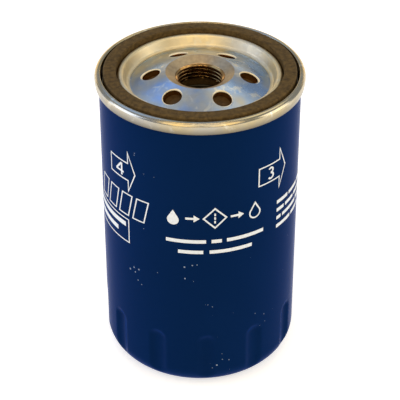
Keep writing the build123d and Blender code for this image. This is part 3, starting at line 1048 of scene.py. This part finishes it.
class FILTER_OT_screen_print(Operator):
    """Lays the generic printed marks on the can."""

    bl_idname = "filter.screen_print"
    bl_label = "Screen print"

    def execute(self, context):
        radius = context.scene.filter_sizes.can_radius
        ink = finish_named("screen_print_ink")
        arc = radius * pi / 180  # length of one degree of wall

        # turning arrows with a step number
        for name, start, figure in (("turn_arrow_left", -60.2, "4"), ("turn_arrow_right", 34.8, "3")):
            x, mid = start * arc, 93.9 * mm
            arrow = pointer(x, mid, 13.8 * mm, 3.7 * mm, 8.3 * mm, 3.5 * mm)
            printed(name, [band(arrow[0], 0.5 * mm)], radius, ink)
            step = numeral(figure, x + 5.6 * mm, mid - 2.6 * mm, 5.2 * mm)
            printed(name + "_figure", step, radius, ink)

        # oil drop, arrow, filter symbol, arrow, clean drop, in a row
        base, high = 77.4 * mm, 6.5 * mm
        row = []
        left = -19.0 * arc
        row.append([drop(left + 2.4 * mm, base, high)])
        row.append(pointer(left + 7.0 * mm, base + high / 2, 5.2 * mm))
        middle = left + 17.8 * mm
        half = 4.2 * mm
        level = base + high / 2
        diamond = [
            (middle - half, level),
            (middle, level - half),
            (middle + half, level),
            (middle, level + half),
        ]
        row.append(band(diamond, 0.6 * mm))
        for n in range(3):
            foot = level - 2.2 * mm + n * 1.6 * mm
            row.append(bar(middle - 0.3 * mm, middle + 0.3 * mm, foot, foot + 1.1 * mm))
        row.append(pointer(left + 23.6 * mm, level, 5.2 * mm))
        row.append(band(drop(left + 33.4 * mm, base, high), 0.6 * mm))
        printed("filter_symbols", row, radius, ink)

        # two rules of word-long bars under the symbols
        words = [(-19.5, 3.4, 69.7, 71.2), (6.5, 12.4, 69.7, 71.2), (15.3, 38.6, 69.7, 71.2)]
        words += [(-12.5, 1.8, 65.0, 66.5), (5.4, 30.8, 65.0, 66.5)]
        printed(
            "caption_bars",
            [bar(a * arc, b * arc, low * mm, top * mm) for a, b, low, top in words],
            radius,
            ink,
        )

        # slanted stripes and a ruled box at the left
        stripes = []
        for n in range(4):
            foot = (-76.0 + 11.5 * n) * arc
            stripe = bar(foot, foot + 5.2 * mm, 74.6 * mm, 84.0 * mm, 2.2 * mm)
            stripes.append(band(stripe[0], 0.5 * mm))
        printed("side_stripes", stripes, radius, ink)
        panel = bar(-86.0 * arc, -45.0 * arc, 62.3 * mm, 72.6 * mm)
        lines = [band(panel[0], 0.45 * mm)]
        for foot, end in ((69.0, -47.5), (65.0, -55.0)):
            lines.append(bar(-83.0 * arc, end * arc, foot * mm, (foot + 2.0) * mm))
        printed("side_panel", lines, radius, ink)

        # short ruled notes at the right
        notes = []
        rules = ((78.3, (62, 76, 88)), (74.7, (58, 70, 84)), (71.2, (55, 74, 90)), (67.5, (66, 81)))
        for foot, ends in rules:
            start = 49.4
            for end in ends:
                notes.append(bar(start * arc, (end - 1.6) * arc, foot * mm, (foot + 1.5) * mm))
                start = end
        printed("note_bars", notes, radius, ink)
        return {"FINISHED"}


def drop(x, base, high):
    """Outline of an oil drop that stands on its round end."""
    belly = high * 0.34
    centre = base + belly
    points = [
        (x + belly * sin(a), centre - belly * cos(a))
        for a in (radians(-118 + 236 * n / 28) for n in range(29))
    ]
    return points + [(x, base + high)]


def pointer(x, level, length, shaft=0.45 * mm, head=1.5 * mm, tip=2.2 * mm):
    """An arrow that points to the right; shaft and head are half widths."""
    neck = x + length - tip
    return [
        [
            (x, level - shaft),
            (neck, level - shaft),
            (neck, level - head),
            (x + length, level),
            (neck, level + head),
            (neck, level + shaft),
            (x, level + shaft),
        ]
    ]


def numeral(figure, x, base, high):
    """A step number drawn with even strokes; x is its middle."""
    stroke = high * 0.15
    if figure == "4":
        outline = [
            (0.16, 0.0), (0.32, 0.0), (0.32, 0.24), (0.46, 0.24), (0.46, 0.38), (0.32, 0.38),
            (0.32, 1.0), (0.13, 1.0), (-0.40, 0.38), (-0.40, 0.24), (0.16, 0.24),
        ]
        window = [(0.16, 0.38), (-0.20, 0.38), (0.16, 0.80)]
        return [[[(x + a * high, base + b * high) for a, b in loop] for loop in (outline, window)]]
    arcs = []
    for centre, reach, first, last in ((0.74, 0.19, 150, -95), (0.285, 0.225, 95, -150)):
        middle = base + centre * high
        sweep = [radians(first + (last - first) * n / 24) for n in range(25)]
        outer, inner = (
            [(x + far * cos(a), middle + far * sin(a)) for a in sweep]
            for far in (reach * high + stroke / 2, reach * high - stroke / 2)
        )
        arcs.append([outer + inner[::-1]])
    return arcs


# ------------------------------------------------------------------ stage


class FILTER_OT_stage(Operator):
    """Sets the pale floor, the soft lights and the camera."""

    bl_idname = "filter.stage"
    bl_label = "Stage, lights and camera"

    def execute(self, context):
        floor_data = bmesh.new()
        bmesh.ops.create_grid(floor_data, x_segments=8, y_segments=8, size=3.0)
        material, _ = new_material("pale_matte_floor")
        # white all over, with only soft shadows
        shaded(
            material,
            {
                "Base Color": linear("#f4f4f4"),
                "Roughness": 0.9,
                "Emission Color": linear("#ffffff"),
                "Emission Strength": 0.55,
            },
        )
        ground = finished("studio_floor", floor_data, material)
        ground.location.z = -0.0002

        lights = [
            # name, place, level it aims at on the axis, size, power, colour
            ("window_blue", (-0.42, 0.50, 0.98), 0.12, (0.7, 0.5), 1.00, "#8fbcff"),
            ("overhead_pale", (0.42, 0.42, 1.05), 0.12, (0.6, 0.5), 1.00, "#f6ecd2"),
            ("overhead_warm", (0.0, -0.08, 1.15), 0.12, (0.6, 0.26), 1.10, "#ffdfa4"),
            ("front_warm_left", (-0.36, -0.80, 0.86), 0.12, (0.66, 1.00), 3.2, "#ffe2a8"),
            ("front_warm_right", (0.40, -0.80, 0.86), 0.12, (0.66, 1.00), 3.2, "#ffe2a8"),
            ("front_low", (0.0, -1.15, 0.36), 0.12, (1.3, 0.36), 1.5, "#ffe3ac"),
            ("back_warm", (0.0, 1.10, 0.25), 0.12, (2.2, 0.50), 3.4, "#ffe0a6"),
            ("left_soft", (-0.80, -0.10, 0.30), 0.06, (0.5, 0.6), 3.2, "#c4d0ea"),
            ("right_soft", (0.80, -0.10, 0.30), 0.06, (0.5, 0.6), 2.6, "#d8d4d0"),
        ]
        for name, spot, aim, size, power, colour in lights:
            data = bpy.data.lights.new(name, "AREA")
            data.shape = "RECTANGLE"
            data.size, data.size_y = size
            data.energy = power
            data.color = linear(colour)[:3]
            lamp = bpy.data.objects.new(name, data)
            lamp.location = spot
            lamp.rotation_euler = (Vector((0, 0, aim)) - Vector(spot)).to_track_quat("-Z", "Y").to_euler()
            context.collection.objects.link(lamp)

        world = bpy.data.worlds.new("studio_air")
        world.use_nodes = True
        background = world.node_tree.nodes["Background"]
        background.inputs["Color"].default_value = linear("#e6eefa")
        background.inputs["Strength"].default_value = 0.42
        context.scene.world = world
        context.scene.view_settings.view_transform = "Standard"

        lens = bpy.data.cameras.new("camera")
        lens.lens = 136.95
        lens.sensor_width = 36.0
        camera = bpy.data.objects.new("camera", lens)
        camera.location = (0.0, -0.4850, 0.3958)
        camera.rotation_euler = (radians(90 - 34.42), 0, 0)
        context.collection.objects.link(camera)
        context.scene.camera = camera
        return {"FINISHED"}


# ------------------------------------------------------------------ panel and registration


class FILTER_PT_build(Panel):
    """Lists the filter's pieces in the sidebar."""

    bl_label = "Oil Filter"
    bl_space_type = "VIEW_3D"
    bl_region_type = "UI"
    bl_category = "Oil Filter"

    def draw(self, context):
        for group in (context.scene.filter_sizes):
            box = self.layout.box()
            for key in group.__annotations__:
                box.prop(group, key)
        for operator in OPERATORS:
            self.layout.operator(operator.bl_idname)


OPERATORS = (
    FILTER_OT_stage,
    FILTER_OT_can,
    FILTER_OT_cover_ring,
    FILTER_OT_gasket,
    FILTER_OT_tapping_plate,
    FILTER_OT_valve,
    FILTER_OT_springs,
    FILTER_OT_element,
    FILTER_OT_screen_print,
)
CLASSES = (FilterSizes, FilterColours, *OPERATORS, FILTER_PT_build)


def register():
    for item in CLASSES:
        bpy.utils.register_class(item)
    bpy.types.Scene.filter_sizes = PointerProperty(type=FilterSizes)
    bpy.types.Scene.filter_colours = PointerProperty(type=FilterColours)


def unregister():
    del bpy.types.Scene.filter_colours
    del bpy.types.Scene.filter_sizes
    for item in reversed(CLASSES):
        bpy.utils.unregister_class(item)


def main():
    register()
    for operator in OPERATORS:
        family, verb = operator.bl_idname.split(".")
        getattr(getattr(bpy.ops, family), verb)()


if __name__ == "__main__":
    main()
